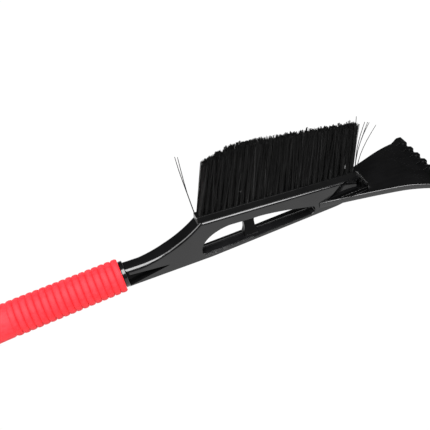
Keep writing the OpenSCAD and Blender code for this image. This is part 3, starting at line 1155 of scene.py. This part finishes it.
    def is_painted_shade(self, face: bpy.types.MeshPolygon) -> bool:
        """Whether a face takes painted shade: on an ice rib or in a recess, save for the tops of its ribs."""
        d = self.datum
        x, y, z = face.center
        on_rib = x > d.edge_x - self.rib_l and z > self.top_at(min(x, d.edge_x)) + 0.3 * MM
        in_pocket = d.fork_x + 8 * MM < x < d.bar_x1 + 8 * MM
        in_pocket = in_pocket and self.floor_z - 0.1 * MM < z < d.z(d.blade_z) - 0.2 * MM
        in_pocket = in_pocket and abs(y) < self.half_at(x) - self.rim + 0.1 * MM
        on_top = face.normal.z > 0.9 and z > self.floor_z + 0.5 * MM
        return on_rib or (in_pocket and not on_top)


# ---- handle ----


@dataclass
class Grip:
    """The foam sleeve with its palm swell and rounded ribs."""

    datum: Datum
    palm_r: float = 19.2 * MM
    palm_l: float = 79 * MM
    rib_count: int = 17
    rib_h: float = 1.5 * MM
    end_r: float = 17.5 * MM
    taper: float = 0.8 * MM
    bore_r: float = 12.75 * MM
    waver: float = 0.12 * MM

    def profile(self) -> list[Point]:
        """(x, radius) points along the grip's outside, from the butt end to the neck end."""
        d = self.datum
        start = d.grip_x0 + self.palm_l
        pitch = (d.grip_x1 - start) / self.rib_count
        soft = 5 * MM
        points = arc((d.grip_x0 + soft, self.palm_r - soft), soft, 180, 90, 8)
        first_r = self.end_r + self.taper
        for i in range(1, 13):
            share = i / 12
            radius = self.palm_r + (first_r - 0.3 * MM - self.palm_r) * eased(share)
            points.append((d.grip_x0 + 30 * MM + (self.palm_l - 33 * MM) * share, radius))
        for k in range(self.rib_count):
            for j in range(13):
                share = j / 12
                x = start + (k + share) * pitch
                crest = self.end_r + self.taper * (d.grip_x1 - x) / (d.grip_x1 - start)
                points.append((x, crest - self.rib_h + self.rib_h * math.sin(math.pi * share) ** 0.45))
        return points

    def build(self, material: bpy.types.Material) -> None:
        """Makes the grip and dresses it."""
        d = self.datum
        outside = self.profile()
        bm = turned([(d.grip_x0, self.bore_r), *outside, (d.grip_x1, self.bore_r)], d.axis_z, 128)
        bmesh.ops.recalc_face_normals(bm, faces=bm.faces)
        # painted shade: how deep each point sits in a groove, stored so the foam material can darken it there
        groove = bm.verts.layers.float.new("groove")
        start = d.grip_x0 + self.palm_l
        for vert in bm.verts:
            spoke = Vector((0, vert.co.y, vert.co.z - d.axis_z))
            crest = self.end_r + self.taper * (d.grip_x1 - vert.co.x) / (d.grip_x1 - start)
            if vert.co.x > start:
                vert[groove] = min(1.0, max(0.0, (crest - spoke.length) / self.rib_h)) ** 0.8
            if spoke.length > self.bore_r + 1 * MM:
                lump = noise.noise(vert.co * 90) + 0.5 * noise.noise(vert.co * 260)
                vert.co += spoke.normalized() * (lump - 0.8) * self.waver
        piece = to_object(bm, "foam_sleeve", 60)
        dress(piece, material, Slot.FOAM, "foam_grip")


@dataclass
class ButtCap:
    """The plug that closes the butt, with its hanging eye."""

    datum: Datum
    eye_l: float = 13 * MM
    eye_h: float = 15 * MM
    eye_half: float = 2.5 * MM
    hole_r: float = 3.2 * MM
    dome_r: float = 13.7 * MM
    plug_r: float = 9.65 * MM
    plug_l: float = 18 * MM

    def build(self, material: bpy.types.Material) -> None:
        """Makes the cap and dresses it."""
        d = self.datum
        x0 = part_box("end_cap")[0].x
        dome = [(x0 + self.eye_l, 0)]
        dome += [(x0 + self.eye_l + 4.4 * MM * (1 - math.cos(a)), self.dome_r - 5 * MM * (1 - math.sin(a)))
                 for a in (math.pi / 2 * i / 10 for i in range(11))]
        rear = d.grip_x0
        chamfer = 1.5 * MM
        dome += [(rear - 0.3 * MM, self.dome_r), (rear, self.plug_r),
                 (rear + self.plug_l - chamfer, self.plug_r),
                 (rear + self.plug_l, self.plug_r - chamfer), (rear + self.plug_l, 0)]
        bm = bmesh.new()
        add_body(bm, turned(dome, d.axis_z, 80))
        r = self.eye_h / 2
        centre = (x0 + r, d.axis_z)
        tail = x0 + self.eye_l + 2 * MM
        outline = [(tail, d.axis_z - r), *arc(centre, r, 270, 90, 28), (tail, d.axis_z + r)]
        hole = arc(centre, self.hole_r, 0, 345, 23)
        add_body(bm, plate(edged(outline, 0.7 * MM), [edged(hole, 0.7 * MM)], self.eye_half, 4))
        piece = to_object(bm, "butt_cap")
        keep_flats_flat(piece)
        dress(piece, material, Slot.CAP, "end_cap")


# ---- brush ----


@dataclass
class Brush:
    """Three rows of bristle tufts set in the bar's bed, fanned a few degrees and trimmed to a line."""

    datum: Datum
    tuft_count: int = 28
    tuft_r: float = 1.5 * MM
    row_gap: float = 3 * MM
    end_gap: float = 3 * MM
    rooting: float = 1.5 * MM
    clumps: int = 13
    per_clump: int = 6
    strand_r: float = 0.27 * MM
    trim_rear: float = 72.5 * MM
    trim_front: float = 56 * MM
    highest: float = CAD_BOX[1][2] * 1.025
    shoulder_h: float = 13 * MM
    shoulder_l: float = 45 * MM
    lean_rear: float = math.radians(11)
    lean_front: float = math.radians(2)
    knots: int = 7
    seed: int = 41

    def tuft_at(self, index: int, stagger: int) -> float:
        """Distance of a tuft along the bar from its rear end."""
        start = self.datum.bed_start + self.end_gap + self.tuft_r
        stop = self.datum.bed_stop - self.end_gap - self.tuft_r
        return start + (index + stagger / 2) * (stop - start) / (self.tuft_count - 1)

    def trim_at(self, along: float) -> float:
        """Height of the trim above the bed at a place along the bar."""
        share = along / self.datum.bar_l
        fall = self.shoulder_h * max(0.0, 1 - along / self.shoulder_l) ** 1.6
        return self.trim_rear + (self.trim_front - self.trim_rear) * share - fall

    def lean_at(self, along: float) -> float:
        """Forward lean of a tuft, from square to the bar."""
        return self.lean_rear + (self.lean_front - self.lean_rear) * along / self.datum.bar_l

    def clump(self, rng: random.Random, along: float, across: float, trim: float) -> list[list[Vector]]:
        """A few filaments of a tuft that cling together.

        Args:
            rng: Seeded source of randomness.
            along: The tuft's place along the bar.
            across: The tuft's place across it.
            trim: Height that the tuft was cut at, above the bed.

        Returns:
            The filaments, each as points from inside the bed to the tip.
        """
        lean = self.lean_at(along)
        side = max(-1.9, min(1.9, rng.gauss(0, 1)))
        room = min(1.0, 0.45 + along / (12 * MM), 0.45 + (self.datum.bar_l - along) / (12 * MM))
        splay = Vector((side * 2.2 * MM * room, rng.gauss(0, 1.3 * MM), 0))
        turn, reach = rng.uniform(0, 2 * math.pi), self.tuft_r * math.sqrt(rng.random())
        base = Vector((along + reach * math.cos(turn), across + reach * math.sin(turn),
                       self.datum.bed_h - self.rooting))
        top = trim - abs(rng.gauss(0, 1.3 * MM))
        top += rng.uniform(0.6, 2.2) * MM if rng.random() < 0.12 else 0.0
        crimp = Vector((rng.gauss(0, 0.3 * MM), rng.gauss(0, 0.3 * MM), 0))
        phase, waves = rng.uniform(0, 2 * math.pi), rng.uniform(1.0, 2.4)
        strands = []
        for _ in range(self.per_clump):
            foot = base + Vector((rng.gauss(0, 0.35 * MM), rng.gauss(0, 0.35 * MM), 0))
            cut = top - abs(rng.gauss(0, 0.5 * MM))
            stray = Vector((rng.gauss(0, 0.4 * MM), rng.gauss(0, 0.4 * MM), 0))
            points = []
            for k in range(self.knots):
                share = k / (self.knots - 1)
                up = -self.rooting + (cut + self.rooting) * share
                local = foot + Vector((math.tan(lean) * up, 0, up + self.rooting))
                wave = math.sin(phase + 2 * math.pi * waves * share)
                local += (splay + stray) * share ** 1.1 + crimp * share * wave
                place = self.datum.on_bar(*local)
                points.append(Vector((place.x, place.y, min(place.z, self.highest))))
            strands.append(points)
        return strands

    def row(self, name: str, across: float, stagger: int, strays: list[list[Vector]]) -> bpy.types.Object:
        """One row of tufts as a mesh.

        Args:
            name: The piece's name.
            across: The row's place across the bar.
            stagger: 1 for a row shifted by half a pitch.
            strays: Extra filaments that stand out of the brush.

        Returns:
            The row's object.
        """
        rng = random.Random(self.seed + round(across / MM * 10))
        curve = new_wire(name, self.strand_r, 0)
        curve.use_fill_caps = True
        strands = [self.resampled(route) for route in strays]
        shades = [0.2] * len(strands)
        for index in range(self.tuft_count - stagger):
            along = self.tuft_at(index, stagger)
            trim = self.trim_at(along) + rng.gauss(0, 0.5 * MM)
            for _ in range(self.clumps):
                strands += self.clump(rng, along, across, trim)
                shade = rng.random()
                shades += [0.35 * shade + 0.65 * rng.random() for _ in range(self.per_clump)]
        for number, points in enumerate(strands):
            spline = add_line(curve, points)
            taper = 1.7 if number < len(strays) else rng.uniform(0.85, 1.15)
            for k, knot in enumerate(spline.points):
                knot.radius = taper * (1 - 0.25 * (k / (len(points) - 1)) ** 4)
        mesh = meshed(curve)
        mesh.polygons.foreach_set("use_smooth", [True] * len(mesh.polygons))
        per_strand = len(mesh.vertices) // len(strands)
        shade_layer = mesh.attributes.new("shade", "FLOAT", "POINT")
        shade_layer.data.foreach_set("value", [shade for shade in shades for _ in range(per_strand)])
        piece = bpy.data.objects.new(name, mesh)
        bpy.context.scene.collection.objects.link(piece)
        return piece

    def resampled(self, route: list[Vector]) -> list[Vector]:
        """Spreads a route's bends over as many knots as the other filaments have."""
        points = []
        for k in range(self.knots):
            place = k / (self.knots - 1) * (len(route) - 1)
            index = min(int(place), len(route) - 2)
            before = route[max(index - 1, 0)]
            first, second = route[index], route[index + 1]
            after = route[min(index + 2, len(route) - 1)]
            t = place - index
            slope = second - before
            bend = 2 * before - 5 * first + 4 * second - after
            twist = 3 * first - before - 3 * second + after
            points.append(0.5 * (2 * first + slope * t + bend * t ** 2 + twist * t ** 3))
        return points

    def build(self, material: bpy.types.Material) -> None:
        """Makes the three rows and dresses them."""
        rows = (("left", self.row_gap, 0), ("middle", 0.0, 1), ("right", -self.row_gap, 0))
        for side, across, stagger in rows:
            piece = self.row(f"bristles_{side}", across, stagger, self.strays(side))
            dress(piece, material, Slot.BRISTLE, f"tufts_{side}_row")

    def strays(self, side: str) -> list[list[Vector]]:
        """Filaments that have sprung out of the brush's ends in one row.

        Their routes are in millimetres, with the bar's front end at its own station along x and with z
        above the handle's axis.
        """
        d = self.datum
        front_station = 279.9 * MM
        origin = d.bar_x1 - front_station
        routes = {
            "left": [[(104.4, 4.4, 34.0), (103.2, 8.0, 62.0), (102.4, 12.5, 86.0), (102.6, 15.5, 100.3)],
                     [(104.8, 4.6, 34.0), (103.6, 8.4, 60.0), (104.4, 13.0, 85.0), (105.2, 15.8, 98.6)]],
            "right": [[(278.0, -4.9, 24.0), (281.5, -5.0, 44.0), (286.5, -5.2, 60.0), (292.0, -5.4, 73.0)],
                      [(278.2, -4.7, 24.0), (282.5, -4.8, 42.0), (289.5, -4.8, 58.0), (297.1, -4.8, 70.0)],
                      [(278.4, -4.5, 24.0), (282.0, -4.6, 40.0), (288.0, -4.6, 55.0), (295.5, -4.6, 71.0)],
                      [(280.0, -4.9, 22.0), (285.0, -5.0, 36.0), (293.0, -5.2, 50.0), (304.0, -5.4, 64.5)]],
            "middle": [[(277.0, 0.0, 24.0), (280.5, 0.0, 45.0), (284.0, 0.0, 65.0), (286.0, 0.0, 79.0)]],
        }
        return [[Vector((origin + x * MM, y * MM, d.z(z * MM))) for x, y, z in route]
                for route in routes[side]]


# ---- stage, light and camera ----


@dataclass
class Studio:
    """A pale floor, soft light and the camera."""

    datum: Datum
    floor_drop: float = 0.2 * MM
    lens: float = 59.3
    bearing: float = -11.23
    height_angle: float = 39.86
    roll: float = 14.41
    stand_behind: float = 0.08988
    stand_off: float = 0.5335
    stand_high: float = 0.482

    def floor(self) -> None:
        """A plain floor that glows evenly, like a light table."""
        bm = bmesh.new()
        bmesh.ops.create_grid(bm, x_segments=1, y_segments=1, size=6)
        bmesh.ops.translate(bm, verts=bm.verts, vec=(0, 0, CAD_BOX[0][2] - self.floor_drop))
        piece = to_object(bm, "floor")
        material = bpy.data.materials.new("pale_floor")
        material.use_nodes = True
        tree = material.node_tree
        tree.nodes.clear()
        glow = tree.nodes.new("ShaderNodeEmission")
        glow.inputs["Color"].default_value = (1, 1, 1, 1)
        glow.inputs["Strength"].default_value = 1.02
        out = tree.nodes.new("ShaderNodeOutputMaterial")
        tree.links.new(glow.outputs["Emission"], out.inputs["Surface"])
        piece.data.materials.append(material)

    def lamp(self, name: str, azimuth: float, elevation: float, distance: float, size: Point,
             power: float) -> None:
        """A soft rectangular lamp aimed at the tool.

        Args:
            name: The lamp's name.
            azimuth: Direction round the tool in degrees, 0 from the near side.
            elevation: Height angle in degrees.
            distance: Metres from the tool.
            size: Width and height in metres.
            power: Watts.
        """
        data = bpy.data.lights.new(name, "AREA")
        data.shape = "RECTANGLE"
        data.size, data.size_y = size
        data.energy = power
        lamp = bpy.data.objects.new(name, data)
        turn, rise = math.radians(azimuth), math.radians(elevation)
        aim = Vector((0.04, 0, 0.04))
        place = aim + distance * Vector((math.sin(turn) * math.cos(rise),
                                         -math.cos(turn) * math.cos(rise), math.sin(rise)))
        lamp.location = place
        lamp.rotation_euler = (aim - place).to_track_quat("-Z", "Y").to_euler()
        bpy.context.scene.collection.objects.link(lamp)

    def world(self) -> None:
        """A dim neutral surround."""
        world = bpy.data.worlds.new("surround")
        world.use_nodes = True
        background = world.node_tree.nodes["Background"]
        background.inputs["Color"].default_value = (1, 1, 1, 1)
        background.inputs["Strength"].default_value = 0.02
        bpy.context.scene.world = world

    def camera(self) -> None:
        """The camera, set by its bearing, height angle and roll."""
        data = bpy.data.cameras.new("camera")
        data.lens = self.lens
        data.sensor_width = 36
        data.clip_start = 0.05
        data.clip_end = 30
        camera = bpy.data.objects.new("camera", data)
        angles = (self.bearing, self.height_angle, self.roll)
        bearing, rise, roll = (math.radians(angle) for angle in angles)
        look = Vector((-math.sin(bearing) * math.cos(rise), math.cos(bearing) * math.cos(rise),
                       -math.sin(rise)))
        right = look.cross(Vector((0, 0, 1))).normalized()
        up = right.cross(look)
        rolled_right = math.cos(roll) * right - math.sin(roll) * up
        rolled_up = math.cos(roll) * up + math.sin(roll) * right
        turn = Matrix((rolled_right, rolled_up, -look)).transposed()
        place = Vector((self.datum.bar_x0 - self.stand_behind, -self.stand_off,
                        self.datum.z(self.stand_high)))
        camera.matrix_world = Matrix.Translation(place) @ turn.to_4x4()
        bpy.context.scene.collection.objects.link(camera)
        bpy.context.scene.camera = camera

    def build(self) -> None:
        """Sets the stage."""
        self.camera()
        self.floor()
        self.world()
        self.lamp("key", 10, 62, 1.6, (1.5, 1.15), 64)
        self.lamp("fill", -75, 50, 1.6, (0.9, 0.9), 14)
        bpy.context.scene.view_settings.view_transform = "Standard"
        bpy.context.scene.view_settings.look = "None"


def main() -> None:
    """Builds the tool's pieces in order and sets the stage."""
    logging.basicConfig(level=logging.INFO, format="%(name)s %(message)s")
    datum = Datum()
    Studio(datum).build()
    # painted shade: a darker, nearly unglossy copy of the black plastic that stands in for shade on the
    # recesses, the strut, the bristle bed and the ice ribs
    painted_shade = MouldedPlastic("recess_painted_shade_black", base=(0.002, 0.002, 0.0021), gloss=0.05).material()
    glossy = MouldedPlastic("frame_gloss_black", base=(0.0025, 0.0025, 0.0027), gloss=0.62).material()
    satin = MouldedPlastic("head_satin_black", base=(0.0015, 0.0015, 0.0016), rough_low=0.18,
                           rough_high=0.27, ripple=0.04, scuff=0.01, gloss=0.8).material()
    FrameMoulding(datum).build(glossy, painted_shade)
    ScraperHead(datum).build(satin, painted_shade)
    Grip(datum).build(GripFoam().material())
    ButtCap(datum).build(MouldedPlastic("cap_matte_black", rough_low=0.35, rough_high=0.5).material())
    Brush(datum).build(BristleFibre().material())
    wire = DrawnWire().material()
    for row in ("left", "middle", "right"):
        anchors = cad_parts[f"anchors_{row}_row"]
        anchors.data.materials.clear()
        anchors.data.materials.append(wire)


if __name__ == "__main__":
    main()
